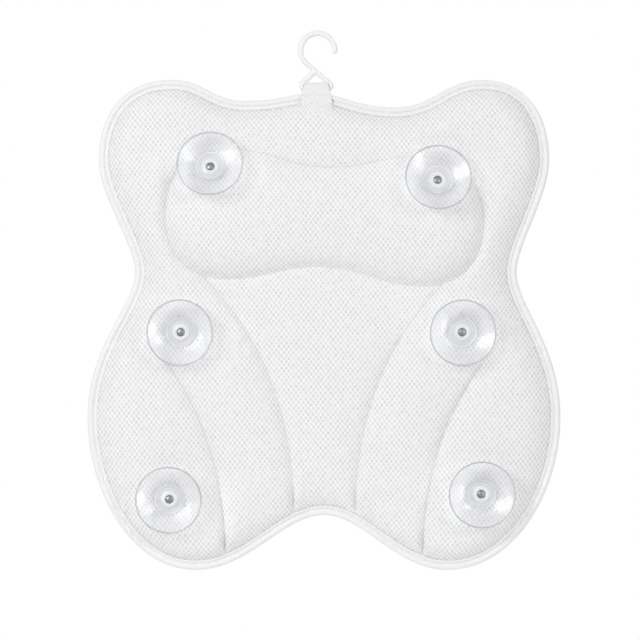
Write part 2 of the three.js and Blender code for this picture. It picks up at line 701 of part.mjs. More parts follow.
function tabGeometry() {
  const front = tabLeg('front');
  const back = tabLeg('back').slice(1).reverse().map(mirrored);
  const line = [...back, ...front];
  const strip = new THREE.ExtrudeGeometry(ribbon(line, TAB_THICKNESS), {
    depth: TAB_BASE_WIDTH, bevelEnabled: false,
  });
  strip.translate(0, 0, -TAB_BASE_WIDTH / 2).applyMatrix4(new THREE.Matrix4().makeBasis(
    new THREE.Vector3(0, 1, 0), new THREE.Vector3(0, 0, 1), new THREE.Vector3(1, 0, 0)));
  const reach = barRise + PIPING_DIAMETER + TAB_LAP + CROWN.wing.front;
  const taper = new THREE.Shape([
    new THREE.Vector2(-TAB_FOLD_WIDTH / 2, reach),
    new THREE.Vector2(-TAB_FOLD_WIDTH / 2, -rodRadius),
    new THREE.Vector2(-TAB_BASE_WIDTH / 2, -barRise - PIPING_DIAMETER),
    new THREE.Vector2(-TAB_BASE_WIDTH / 2, -reach),
    new THREE.Vector2(TAB_BASE_WIDTH / 2, -reach),
    new THREE.Vector2(TAB_BASE_WIDTH / 2, -barRise - PIPING_DIAMETER),
    new THREE.Vector2(TAB_FOLD_WIDTH / 2, -rodRadius),
    new THREE.Vector2(TAB_FOLD_WIDTH / 2, reach),
  ]);
  const gauge = new THREE.ExtrudeGeometry(taper, { depth: 2 * reach, bevelEnabled: false });
  gauge.translate(0, 0, -reach).rotateX(Math.PI / 2);
  return toGeometry(toSolid(strip).intersect(toSolid(gauge)));
}

// Assembly: the pillow hangs below the bar, with the tab a little to the left of its middle
const pillow = new THREE.Group();
pillow.position.set(barCentre - TAB_OFFSET, 0, topEdgeHeight);

const hollows = Object.values(pads).map((pad) => padSolid(pad, PANEL_WALL));
pillow.add(named('back_panel', cut(covers.back, [...hollows, ...seats]), FINISH.mesh));
pillow.add(named('front_panel', cut(covers.front, hollows), FINISH.mesh));
for (const [name, pad] of Object.entries(pads)) {
  const fill = cut(padSolid(pad, PANEL_WALL + CLEARANCE), seats);
  pillow.add(named(`${name}_fill`, fill, FINISH.fill));
}
pillow.add(named('edge_piping', pipingGeometry(), FINISH.piping));
cups.forEach((group) => pillow.add(group));

const tab = named('hanging_tab', tabGeometry(), FINISH.mesh);
tab.position.set(barCentre, 0, barHeight);
const hook = named('hook', hookGeometry(), FINISH.hook);

const bathPillow = new THREE.Group();
bathPillow.add(pillow, tab, hook);

export default bathPillow;
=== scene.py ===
# %% [markdown]
# # A butterfly bath pillow
# The pillow hangs on a white hook and shows its back: a quilted mesh cover, a bound edge and
# clear suction cups. The solids of the pillow are loaded first and stay where they are. Every
# piece that shows is then made again, in metres and in the same frame, and rides on the body that
# it belongs to. +Z is up, the cups look towards -Y, and the hook's crest is the origin.

# %% Load the solids
import json
import math

import bmesh
import bpy
import numpy as np
from mathutils import Matrix, Vector, bvhtree, geometry, kdtree


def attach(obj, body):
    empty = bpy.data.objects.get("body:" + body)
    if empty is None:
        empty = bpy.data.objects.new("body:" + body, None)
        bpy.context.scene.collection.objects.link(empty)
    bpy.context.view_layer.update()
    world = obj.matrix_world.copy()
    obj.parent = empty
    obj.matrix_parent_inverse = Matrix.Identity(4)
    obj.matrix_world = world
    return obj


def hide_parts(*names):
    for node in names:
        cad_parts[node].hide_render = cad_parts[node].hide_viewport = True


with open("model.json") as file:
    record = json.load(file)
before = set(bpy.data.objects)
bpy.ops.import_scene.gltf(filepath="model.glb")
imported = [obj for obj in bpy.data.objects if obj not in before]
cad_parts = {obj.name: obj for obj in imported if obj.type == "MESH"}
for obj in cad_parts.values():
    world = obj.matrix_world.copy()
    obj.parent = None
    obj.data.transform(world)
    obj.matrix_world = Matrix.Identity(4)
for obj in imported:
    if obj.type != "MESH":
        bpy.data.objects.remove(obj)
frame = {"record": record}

MM = 0.001
scene = bpy.context.scene
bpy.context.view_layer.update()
joints = {joint["name"]: joint for joint in frame["record"]["behaviour"]["joints"]}

# %% [markdown]
# ## Camera
# The picture is square and looks straight at the back of the pillow. At the plane of the edge it
# is about half a metre wide, so the lens follows from the distance. A long lens from a few metres
# away keeps the cups near the rim of the picture round, as a product photographer would.

# %% Camera
PICTURE_WIDTH = 500.5 * MM
PICTURE_CENTRE = Vector((1.7 * MM, 0, -222.1 * MM))
VIEW_DISTANCE = 3.6

lens = bpy.data.cameras.new("camera")
lens.lens = lens.sensor_width * VIEW_DISTANCE / PICTURE_WIDTH
camera = bpy.data.objects.new("camera", lens)
camera.location = PICTURE_CENTRE - Vector((0, VIEW_DISTANCE, 0))
camera.rotation_euler = (math.pi / 2, 0, 0)
scene.collection.objects.link(camera)
scene.camera = camera
print("focal length", round(lens.lens, 1), "mm")

# %% [markdown]
# ## Light and floor
# White goods on white need light that is soft and a little stronger from above, so that the lower
# flank of every pad turns grey while the top stays bright. The world gives half of the light. A wide
# key lamp stands in front on the left, a weaker one on the right, and a third lights the far side.
# Two upright strips light only what is glossy, which puts soft fans into the clear cups. Rays from
# the camera, and rays that a gloss or a clear piece sends on, see plain white. The floor is a round,
# pale disc under the pillow that fades out towards its rim.

# %% Light
AMBIENT_LEVEL = 0.565

scene.view_settings.view_transform = "Standard"
world = bpy.data.worlds.new("studio")
scene.world = world
world.use_nodes = True
studio = world.node_tree
studio.nodes.clear()


def set_numbers(node, numbers):
    for socket, value in numbers.items():
        node.inputs[socket].default_value = value


def add_node(tree, kind, numbers=None, **settings):
    """Adds a ShaderNode of a kind, with its settings and the numbers on its own sockets."""
    node = tree.nodes.new("ShaderNode" + kind)
    for name, value in settings.items():
        setattr(node, name, value)
    set_numbers(node, numbers or {})
    return node


def wire(tree, *rows):
    """Joins nodes: each row is a node, its output, the next node and that one's input."""
    for source, output, target, socket in rows:
        tree.links.new(source.outputs[output], target.inputs[socket])


ambient = add_node(studio, "Background", {"Strength": AMBIENT_LEVEL, "Color": (1, 1, 1, 1)})
backdrop = add_node(studio, "Background", {"Strength": 1, "Color": (1, 1, 1, 1)})
rays = add_node(studio, "LightPath")
seen_glossy = add_node(studio, "Math", operation="MAXIMUM")
seen = add_node(studio, "Math", operation="MAXIMUM")
choose = add_node(studio, "MixShader")
world_out = add_node(studio, "OutputWorld")
wire(studio,
     (rays, "Is Glossy Ray", seen_glossy, 0), (rays, "Is Transmission Ray", seen_glossy, 1),
     (rays, "Is Camera Ray", seen, 0), (seen_glossy, 0, seen, 1), (seen, 0, choose, 0),
     (ambient, 0, choose, 1), (backdrop, 0, choose, 2), (choose, 0, world_out, 0))


def soft_lamp(name, place, power, width, height):
    data = bpy.data.lights.new(name, "AREA")
    data.energy = power
    data.shape = "RECTANGLE"
    data.size, data.size_y = width, height
    lamp = bpy.data.objects.new(name, data)
    lamp.location = place
    lamp.rotation_euler = (PICTURE_CENTRE - Vector(place)).to_track_quat("-Z", "Y").to_euler()
    scene.collection.objects.link(lamp)
    return lamp


soft_lamp("key_lamp", (-1.1, -1.5, 0.4), 15.5, 0.9, 0.9)
soft_lamp("fill_lamp", (1.2, -1.3, 0.2), 5.5, 0.5, 0.5)
soft_lamp("back_lamp", (0.9, 1.5, 0.9), 18, 1.0, 1.0)
for gloss_lamp in (soft_lamp("left_strip", (-1.55, -0.9, 0.1), 6.5, 0.35, 0.9),
                   soft_lamp("right_strip", (1.55, -0.9, -0.6), 6.5, 0.35, 0.9)):
    gloss_lamp.visible_diffuse = False
print("ambient", AMBIENT_LEVEL, "with three lamps and two strips for the gloss")

# %% Floor
FLOOR_LEVEL = -0.62
FLOOR_RADIUS = 0.62
FLOOR_FADE = 0.55


def link_piece(name, bm, finish=None, smooth=True):
    """A bmesh becomes an object at the origin, with its place in its mesh."""
    mesh = bpy.data.meshes.new(name)
    bm.to_mesh(mesh)
    bm.free()
    piece = bpy.data.objects.new(name, mesh)
    scene.collection.objects.link(piece)
    if finish:
        mesh.materials.append(finish)
    if smooth:
        mesh.shade_smooth()
    print(name, "has", len(mesh.polygons), "faces")
    return piece


def new_finish(name, colour, roughness, numbers=None):
    """A material with its shader, ready for more nodes."""
    finish = bpy.data.materials.new(name)
    finish.use_nodes = True
    shader = finish.node_tree.nodes["Principled BSDF"]
    set_numbers(shader, {"Base Color": (*colour, 1), "Roughness": roughness})
    set_numbers(shader, numbers or {})
    print("finish", name)
    return finish, finish.node_tree, shader


paper, paper_tree, paper_shader = new_finish("pale_paper", (0.93, 0.93, 0.93), 0.9)
paper_place = add_node(paper_tree, "TexCoord")
paper_level = add_node(paper_tree, "Mapping", {"Location": (0, 0, -FLOOR_LEVEL)})
paper_reach = add_node(paper_tree, "VectorMath", operation="LENGTH")
paper_fade = add_node(paper_tree, "MapRange", {"From Min": FLOOR_RADIUS * FLOOR_FADE, "To Min": 1,
                                               "From Max": FLOOR_RADIUS, "To Max": 0},
                      interpolation_type="SMOOTHSTEP")
wire(paper_tree,
     (paper_place, "Object", paper_level, "Vector"), (paper_level, "Vector", paper_reach, 0),
     (paper_reach, "Value", paper_fade, "Value"), (paper_fade, "Result", paper_shader, "Alpha"))

floor_bm = bmesh.new()
bmesh.ops.create_circle(floor_bm, cap_ends=True, segments=96, radius=FLOOR_RADIUS,
                        matrix=Matrix.Translation((0, 0, FLOOR_LEVEL)))
floor = link_piece("floor", floor_bm, paper, smooth=False)

# %% [markdown]
# ## The outline and its seams
# The cover is drawn flat first, as a pattern cutter would: both halves of the butterfly from the tab
# to the notch, which differ a little by hand, the bean of the head pad, and two curved seams on each
# side. Each bend is a Bezier whose handles run level or plumb, so a handful of sizes holds the whole
# drawing. Most numbers are those of the solids, in millimetres, with the peak under the tab at 0.

# %% Pattern sizes
PILLOW_PLACE = Vector((4.83 * MM, 0, -44.4 * MM))
SIGN = (-1, 1)  # side 0 is the back, towards -Y, and side 1 the front
TAB_MIDDLE = -6.0
SWAY, ROUND = 0.46, 0.62
LEVEL, PLUMB = (1, 0), (0, 1)


def edge_bends(hand):
    """One half of the edge, from the peak under the tab to the notch; hand is 1 or -1."""
    return [
        (TAB_MIDDLE, 0, LEVEL, 0.28, 0.28),
        (hand * 58 - 3, -9 - hand * 2.5, LEVEL, SWAY, SWAY),
        (hand * 122 + 3, 10, LEVEL, SWAY, ROUND),
        (hand * 176, -53, PLUMB, ROUND, 0.31),
        (hand * 149 + 1.5, -140, PLUMB, 0.23, 0.23),
        (hand * 184.8, -254, PLUMB, 0.5, SWAY),
        (hand * 98 - 2, -373, LEVEL, ROUND, 0.41),
        (0, -330, LEVEL, 0.31, 0.31),
    ]


HEAD_MIDDLE, HEAD_TILT = (0, -97.75), math.radians(-2.2)
HEAD_BENDS = [
    (0, -58.5, LEVEL, SWAY, SWAY),
    (73, -47.5, LEVEL, SWAY, ROUND),
    (124.5, -97.75, PLUMB, ROUND, ROUND),
    (78, -148, LEVEL, ROUND, SWAY),
    (0, -136, LEVEL, SWAY, SWAY),
]
INNER_SEAM = ((96, -146), (23.5, -330))
OUTER_SEAM = ((154, -178), (73, -373))
SEAM_LEAN, SEAM_FALL, SEAM_PLUMB = 0.38, 0.14, 0.56
SEAM_STEP = 1.8
print(len(edge_bends(1)), "bends in each half of the edge")


# %% Tools for drawing
def joined(line):
    """A line with its first point again at its end."""
    return np.vstack([line, line[:1]])


def line_length(points):
    return float(np.linalg.norm(np.diff(points, axis=0), axis=1).sum())


def spread(points, step):
    """The same line with its points a step apart."""
    points = np.array(points, float)
    runs = np.linalg.norm(np.diff(points, axis=0), axis=1)
    along = np.concatenate([[0], np.cumsum(runs)])
    count = max(2, round(along[-1] / step))
    wanted = np.linspace(0, along[-1], count + 1)
    return np.column_stack([np.interp(wanted, along, points[:, k]) for k in (0, 1)])


def bezier(a, first, last, b):
    return geometry.interpolate_bezier(*(Vector((*p, 0)) for p in (a, first, last, b)), 40)


def bent_line(bends):
    points = []
    for (x0, z0, lead0, _, leave), (x1, z1, lead1, arrive, _) in zip(bends, bends[1:]):
        run = (x1 - x0, z1 - z0)
        first = (x0 + run[0] * lead0[0] * leave, z0 + run[1] * lead0[1] * leave)
        last = (x1 - run[0] * lead1[0] * arrive, z1 - run[1] * lead1[1] * arrive)
        points += [(p.x, p.y) for p in bezier((x0, z0), first, last, (x1, z1))]
    return spread(points, SEAM_STEP)


def closed_by_mirror(half):
    return np.vstack([half, (half * (-1, 1))[-2:0:-1]])


def inset_line(loop, distance):
    """Moves every point of a clockwise loop inwards."""
    run = np.roll(loop, -1, axis=0) - np.roll(loop, 1, axis=0)
    inward = np.column_stack([run[:, 1], -run[:, 0]]) / np.linalg.norm(run, axis=1)[:, None]
    return loop + inward * distance


def tilted(points):
    """Turns points about the middle of the head pad."""
    turn = np.array(Matrix.Rotation(HEAD_TILT, 2))
    return (np.array(points) - HEAD_MIDDLE) @ turn.T + HEAD_MIDDLE


def nearest_point(line, place):
    return line[np.argmin(np.linalg.norm(line - place, axis=1))]


def seam_line(start, end):
    run = np.subtract(end, start)
    lean = (start[0] + run[0] * SEAM_LEAN, start[1] + run[1] * SEAM_FALL)
    plumb = (end[0], end[1] - run[1] * SEAM_PLUMB)
    return spread([(p.x, p.y) for p in bezier(start, lean, plumb, end)], SEAM_STEP)


def handed(place, hand):
    return np.array((hand * place[0], place[1]))


# %% Draw the pattern
COVER_MARGIN = 7.4

right_half, left_half = (bent_line(edge_bends(hand)) for hand in (1, -1))
outline = np.vstack([right_half, left_half[-2:0:-1]])
cover_edge = inset_line(outline, COVER_MARGIN)
head_seam = tilted(closed_by_mirror(bent_line(HEAD_BENDS)))
open_seams = []
for hand in (1, -1):
    inner_start = nearest_point(head_seam, tilted(handed(INNER_SEAM[0], hand)))
    inner_end = nearest_point(cover_edge, handed(INNER_SEAM[1], hand))
    outer_start, outer_end = (nearest_point(cover_edge, handed(place, hand)) for place in OUTER_SEAM)
    open_seams += [seam_line(inner_start, inner_end), seam_line(outer_start, outer_end)]
inner_right, outer_right, inner_left, outer_left = open_seams
print("outline of", len(outline), "points,", round(float(np.ptp(outline[:, 0]))), "by",
      round(float(np.ptp(outline[:, 1]))), "mm")

# %% [markdown]
# ## Flat cloth with the seams cut in
# A cloth needs an even mesh that has an edge along every seam, or the quilting comes out ragged.
# A grid can't follow curved seams, so the points are laid out as a lattice, closer together near
# seams, and Blender's own constrained triangulation joins them without crossing any seam.

# %% Lay out the flat cloth
NEAR_PITCH, FAR_PITCH = 1.9, 3.4
NEAR_BAND = 9.0
SHEET_X, SHEET_Z = (-190, 190), (-384, 14)


def distances(line, points):
    """How far each point is from the nearest point of a line."""
    tree = kdtree.KDTree(len(line))
    for i, (x, z) in enumerate(line):
        tree.insert((x, z, 0), i)
    tree.balance()
    return np.array([tree.find((x, z, 0))[2] for x, z in points])


def inside(loop, points):
    """True for each point that lies inside a loop."""
    hits = np.zeros(len(points), bool)
    for (x0, z0), (x1, z1) in zip(loop, np.roll(loop, -1, axis=0)):
        crosses = (z0 > points[:, 1]) != (z1 > points[:, 1])
        if crosses.any():
            hits[crosses] ^= points[crosses, 0] < (x1 - x0) * (points[crosses, 1] - z0) / (z1 - z0) + x0
    return hits


def lattice(pitch):
    rows = np.arange(*SHEET_Z, pitch * math.sqrt(3) / 2)
    columns = np.arange(*SHEET_X, pitch)
    return np.array([(x + (i % 2) * pitch / 2, z) for i, z in enumerate(rows) for x in columns])


seam_points = np.vstack([head_seam, *open_seams])
all_lines = np.vstack([cover_edge, seam_points])
fine, coarse = lattice(NEAR_PITCH), lattice(FAR_PITCH)
fine, coarse = fine[inside(cover_edge, fine)], coarse[inside(cover_edge, coarse)]
fine_gap, coarse_gap = distances(all_lines, fine), distances(all_lines, coarse)
fine = fine[(fine_gap > NEAR_PITCH * 0.6) & (fine_gap < NEAR_BAND)]
coarse = coarse[coarse_gap > NEAR_BAND + FAR_PITCH * 0.4]

flat_points = [cover_edge, head_seam, *open_seams, fine, coarse]
starts = np.cumsum([0] + [len(points) for points in flat_points]).tolist()
edge_ring = [list(range(len(cover_edge)))]
cuts = [(starts[1] + i, starts[1] + (i + 1) % len(head_seam)) for i in range(len(head_seam))]
for start, line in zip(starts[2:], open_seams):
    cuts += [(start + i, start + i + 1) for i in range(len(line) - 1)]
flat = geometry.delaunay_2d_cdt([Vector(p) for p in np.vstack(flat_points)], cuts, edge_ring, 1, 1e-3)
cloth_xz = np.array([tuple(v) for v in flat[0]])
cloth_x, cloth_z = cloth_xz.T
cloth_faces = flat[2]
print("flat cloth:", len(cloth_xz), "points,", len(cloth_faces), "faces")

# %% [markdown]
# ## Padding
# Between its seams the filling lifts the cloth into crowns: steep beside a seam, nearly flat on
# top. The height of a point follows from how far it is from the nearest seam, with one crown
# height for each pad. The side that one leans on is fuller than the back. Near the edge the
# seams run out to the thin rim, which lies nearer to the back, and over the top of the head pad the
# seam on the back is slack. The back climbs faster from its top and its foot than from its sides.
# Each pair in brackets belongs to the back and to the front.

# %% Heights of the pads
CROWN = {"head": (20.5, 50), "wing": (15, 33), "centre": (14, 28), "lobe": (15, 33)}
SEAM_LEVEL = (10.3, 14)
SLACK_LEVEL = (12.2, 14)
BINDING_LIFT, EDGE_RISE = 3.0, 2.15
EDGE_LEVEL = (EDGE_RISE + BINDING_LIFT, EDGE_RISE - BINDING_LIFT)
EDGE_RUN_OUT = (22, 40)
HEAD_SHOULDER, SHOULDER = (34, 46), (23, 29)
TOP_START, FOOT_START, END_RUN = -80, -320, 45
TOP_STEEPNESS, FOOT_STEEPNESS = (0.3, 0), (0.45, 0)
HEAD_SEAM_SHOULDER, SEAM_SHOULDER = (24, 40), (11, 26)
EDGE_SOFTNESS, HEAD_SOFTNESS, SEAM_SOFTNESS = 1.02, 0.72, 0.5
FADE_START, SEAM_FADE = 4, 42
SLACK_FOOT, SLACK_RISE, SLACK_REACH, SLACK_RUN = -95, 40, 115, 35


def smooth_step(value):
    value = np.clip(value, 0, 1)
    return value * value * (3 - 2 * value)


names = np.full(len(cloth_xz), "wing", dtype=object)
names[inside(np.vstack([inner_right, inner_left[::-1]]), cloth_xz)] = "centre"
for seam in (outer_right, outer_left):
    across = np.interp(cloth_z, seam[::-1, 1], np.abs(seam[::-1, 0]))
    same = cloth_x * seam[0, 0] > 0
    names[same & (np.abs(cloth_x) > across) & (cloth_z < seam[0, 1])] = "lobe"
names[inside(head_seam, cloth_xz)] = "head"
edge_gap = distances(cover_edge, cloth_xz)
seam_gap = distances(seam_points, cloth_xz)
slack = smooth_step((cloth_z - SLACK_FOOT) / SLACK_RISE)
slack = slack * smooth_step((SLACK_REACH - np.abs(cloth_x)) / SLACK_RUN)
fade_from = np.array([outer_right[0], outer_left[0]])
fade_gap = np.linalg.norm(cloth_xz[:, None] - fade_from[None], axis=2).min(axis=1)
hold = smooth_step((fade_gap - FADE_START) / SEAM_FADE)


def pad_heights(side):
    """How far each point of the flat cloth stands off the seam plane, in millimetres."""
    head = names == "head"
    crown = np.array([CROWN[name][side] for name in names])
    foot = FOOT_STEEPNESS[side] * smooth_step((FOOT_START - cloth_z) / END_RUN)
    top = TOP_STEEPNESS[side] * smooth_step((cloth_z - TOP_START) / END_RUN)
    shoulder = np.where(head, HEAD_SHOULDER[side], SHOULDER[side]) * (1 - foot - top)
    seam_shoulder = np.where(head, HEAD_SEAM_SHOULDER[side], SEAM_SHOULDER[side])
    seam = SEAM_LEVEL[side] + (SLACK_LEVEL[side] - SEAM_LEVEL[side]) * slack
    rim = EDGE_LEVEL[side]
    seam = rim + (seam - rim) * smooth_step(edge_gap / EDGE_RUN_OUT[side])
    dip = np.minimum(seam, crown)
    climb_edge = (1 - (1 - np.clip(edge_gap / shoulder, 0, 1)) ** 2) ** EDGE_SOFTNESS
    softness = np.where(head, HEAD_SOFTNESS, SEAM_SOFTNESS)
    climb_seam = (1 - (1 - np.clip(seam_gap / seam_shoulder, 0, 1)) ** 2) ** softness
    from_edge = rim + (crown - rim) * climb_edge
    from_seam = crown - (crown - dip) * (1 - climb_seam) * hold
    return np.minimum(from_edge, from_seam)


print({name: int((names == name).sum()) for name in CROWN})

# %% [markdown]
# ## Cups press on the back
# Each cup is riveted through the back, so the cloth lies flat on the underside of its boss. The
# joint on which a cup turns gives its middle and its axis.

# %% Where the cups clamp the cloth
CUP_NAMES = ["upper_left", "upper_right", "middle_left", "middle_right", "lower_left", "lower_right"]
BOSS_RADIUS, CUP_RADIUS = 10.5, 26.0
CUP_BASE = -0.15
FLAT_RADIUS, HELD_RADIUS, PRESSED_RADIUS = BOSS_RADIUS + 1, BOSS_RADIUS + 1.5, CUP_RADIUS + 4


def cup_frame(name):
    """Turns a cup's own axis, +Z from base to lip, into the pillow's frame."""
    joint = joints[f"cup_{name}_spin"]
    axis = Vector(joint["axis"]).normalized()
    turn = Vector((0, 0, 1)).rotation_difference(axis).to_matrix().to_4x4()
    return Matrix.Translation(Vector(joint["pos_m"])) @ turn


def clamp_to_cups(height):
    """Brings the back's cloth to the cups' bases and keeps it under their skirts."""
    held = np.zeros(len(height), bool)
    for name in CUP_NAMES:
        place = cup_frame(name)
        axis = place.to_3x3() @ Vector((0, 0, 1))
        base = (place.translation - PILLOW_PLACE) / MM + axis * CUP_BASE
        off_x, off_z = cloth_x - base.x, cloth_z - base.z
        plane = -(base.y - (axis.x * off_x + axis.z * off_z) / axis.y)
        reach = np.hypot(off_x, off_z)
        near = smooth_step((PRESSED_RADIUS - reach) / (PRESSED_RADIUS - FLAT_RADIUS))
        height = np.where(reach < PRESSED_RADIUS, height + (plane - height) * near, height)
        held |= reach < HELD_RADIUS
    return height, held


print(len(CUP_NAMES), "cups,", 2 * CUP_RADIUS, "mm across")

# %% [markdown]
# ## Cloth simulation
# A drawn crown looks like moulded foam. Real cloth is held only at its seams and pushed out by the
# filling, so both covers go through a short cloth simulation: the seams, the edge and the rivets
# are pinned, pressure stands in for the filling, and gravity is off. How far a point may travel is
# capped, so the cover keeps the size of the pad.

# %% Simulate a cover
PUFF_FRAMES = 18
PUFF_PRESSURE = 3.2
PUFF_CAP = 2.6
CLOTH_SETTINGS = {
    "quality": 5, "mass": 0.25, "tension_stiffness": 25, "compression_stiffness": 25,
    "shear_stiffness": 12, "bending_stiffness": 0.8, "use_pressure": True,
    "uniform_pressure_force": PUFF_PRESSURE,
}


def cover_bmesh(height, side):
    bm = bmesh.new()
    sign = SIGN[side]
    points = [bm.verts.new(Vector((x * MM, sign * y * MM, z * MM)) + PILLOW_PLACE)
              for (x, z), y in zip(cloth_xz, height)]
    for face in cloth_faces:
        bm.faces.new([points[i] for i in (face if side else face[::-1])])
    bmesh.ops.recalc_face_normals(bm, faces=bm.faces)
    if sum(f.normal.y for f in bm.faces) * sign < 0:
        bmesh.ops.reverse_faces(bm, faces=bm.faces)
    return bm


def coordinates(mesh):
    flat_list = np.empty(len(mesh.vertices) * 3)
    mesh.vertices.foreach_get("co", flat_list)
    return flat_list.reshape(-1, 3)


def evaluated(piece):
    """A piece as its modifiers leave it."""
    return piece.evaluated_get(bpy.context.evaluated_depsgraph_get())


def puff(piece, pinned):
    """Lets pressure fill the cloth between its pins."""
    pins = piece.vertex_groups.new(name="sewn")
    pins.add([int(i) for i in np.nonzero(pinned)[0]], 1.0, "REPLACE")
    cloth = piece.modifiers.new("cloth", "CLOTH")
    cloth.settings.vertex_group_mass = "sewn"
    for setting, value in CLOTH_SETTINGS.items():
        setattr(cloth.settings, setting, value)
    cloth.settings.effector_weights.gravity = 0
    cloth.collision_settings.use_collision = False
    cloth.point_cache.frame_end = PUFF_FRAMES
    before = coordinates(piece.data)
    for step in range(1, PUFF_FRAMES + 1):
        scene.frame_set(step)
    settled = evaluated(piece)
    moved = coordinates(settled.to_mesh()) - before
    settled.to_mesh_clear()
    travel = np.linalg.norm(moved, axis=1)
    limit = np.minimum(1, PUFF_CAP * MM / np.maximum(travel, 1e-9))
    piece.modifiers.remove(cloth)
    piece.vertex_groups.remove(pins)
    scene.frame_set(1)
    piece.data.vertices.foreach_set("co", (before + moved * limit[:, None]).ravel())
    piece.data.update()
    print(piece.name, "puffed by up to", round(travel.max() / MM, 1), "mm, kept to", PUFF_CAP)


# %% [markdown]
# ## Spacer mesh
# The cover is a knitted spacer mesh: white yarn with small holes in diagonal rows, about four
# millimetres apart. The rows follow the cloth, so the finish reads a flattened map of the cloth,
# laid out in metres. A Voronoi texture without randomness is an even lattice of cells. Turned by
# 45 degrees it is staggered like the knit, and the distance from a cell's middle gives both the
# hole and the dimple. Each hole is painted grey, darker towards its middle: painted shade for its
# depth. The rows wander a little, and no two holes are equally dark. An attribute of the cover
# darkens the cloth along every seam: painted shade for the crease where a seam pinches it.

# %% Mesh finish
HOLE_SPACING = (3.85 * MM, 4.89 * MM)
TAB_SPACING = tuple(0.72 * pitch for pitch in HOLE_SPACING)
# The dark grey painted along each seam as shade.
PAINTED_SEAM_SHADE = (0.4, 0.4, 0.405)


def toned(colour, share):
    return [part * share for part in colour]


def blend(tree, first, second):
    """Adds a node that goes from one colour to another by its Factor."""
    return add_node(tree, "Mix", {"A": (*first, 1), "B": (*second, 1)}, data_type="RGBA")


def noise(tree, scale, detail=2):
    return add_node(tree, "TexNoise", {"Scale": scale, "Detail": detail})


def bump_of(tree, strength, depth):
    """Adds a bump whose depth is in millimetres."""
    return add_node(tree, "Bump", {"Strength": strength, "Distance": depth * MM})


def knit_finish(name, yarn, hole_shade, spacing):
    finish, tree, shader = new_finish(name, yarn, 0.88, {"Sheen Weight": 0.12, "Specular IOR Level": 0.25})
    cloth_map = add_node(tree, "UVMap", uv_map="cloth")
    drift = noise(tree, 1 / (18 * MM))
    wander = add_node(tree, "VectorMath", {1: (1.6 * MM, 1.6 * MM, 0)}, operation="MULTIPLY_ADD")
    rows = (math.sqrt(2) / spacing[0], math.sqrt(2) / spacing[1], 1)
    turn = add_node(tree, "Mapping", {"Rotation": (0, 0, math.pi / 4), "Scale": rows})
    cells = add_node(tree, "TexVoronoi", {"Scale": 1, "Randomness": 0}, voronoi_dimensions="2D",
                     feature="F1")
    holes = add_node(tree, "MapRange", {"From Min": 0.03, "From Max": 0.63, "To Min": 1, "To Max": 0},
                     interpolation_type="SMOOTHSTEP")
    uneven = add_node(tree, "MapRange", {"To Min": 0.62, "To Max": 1.15})
    depth = add_node(tree, "Math", operation="MULTIPLY")
    lint = noise(tree, 0.8, 4)
    tone = blend(tree, toned(yarn, 0.92), yarn)
    # Painted shade: each hole is mixed towards a grey colour, darker towards its middle.
    weave = blend(tree, yarn, hole_shade)
    # Painted shade: the cloth goes towards dark grey along each seam, by the seam attribute.
    sewn = add_node(tree, "Attribute", attribute_name="painted_seam_shade")
    seam_shade_share = add_node(tree, "MapRange", {"From Min": 0.5, "To Max": 0.26})
    closed = blend(tree, yarn, PAINTED_SEAM_SHADE)
    fibre = noise(tree, 7, 3)
    relief = add_node(tree, "Math", {1: 0.25}, operation="MULTIPLY_ADD")
    bump = bump_of(tree, 0.55, 0.5)
    wire(tree,
         (cloth_map, "UV", drift, "Vector"), (drift, "Color", wander, 0), (cloth_map, "UV", wander, 2),
         (wander, "Vector", turn, "Vector"), (turn, "Vector", cells, "Vector"),
         (turn, "Vector", lint, "Vector"), (turn, "Vector", fibre, "Vector"),
         (cells, "Distance", holes, "Value"), (holes, "Result", depth, 0),
         (cells, "Color", uneven, "Value"), (uneven, "Result", depth, 1),
         (lint, "Fac", tone, "Factor"), (tone, "Result", weave, "A"), (depth, 0, weave, "Factor"),
         (sewn, "Fac", seam_shade_share, "Value"), (seam_shade_share, "Result", closed, "Factor"),
         (weave, "Result", closed, "A"), (closed, "Result", shader, "Base Color"),
         (fibre, "Fac", relief, 0), (cells, "Distance", relief, 2),
         (relief, 0, bump, "Height"), (bump, "Normal", shader, "Normal"))
    return finish


# The second colour of each finish is the grey painted into the holes as shade.
mesh_finish = knit_finish("spacer_mesh", (0.96, 0.962, 0.96), (0.66, 0.66, 0.663), HOLE_SPACING)
tab_finish = knit_finish("tab_mesh", (0.95, 0.952, 0.95), (0.7, 0.7, 0.703), TAB_SPACING)

# %% [markdown]
# ## The two covers
# Each cover is built, simulated and flattened for its weave. The flattening is Blender's unwrap,
# scaled back to metres, so the holes keep their spacing over the crowns. A Solidify modifier then
# gives the cloth its thickness, inwards.

# %% Make the covers
CLOTH_THICKNESS = 1.6 * MM
# How far the painted seam shade reaches from a seam, in millimetres.
PAINTED_SEAM_WIDTH = 1.9
ON_LINE = 0.3
SMOOTH_PASSES = 3


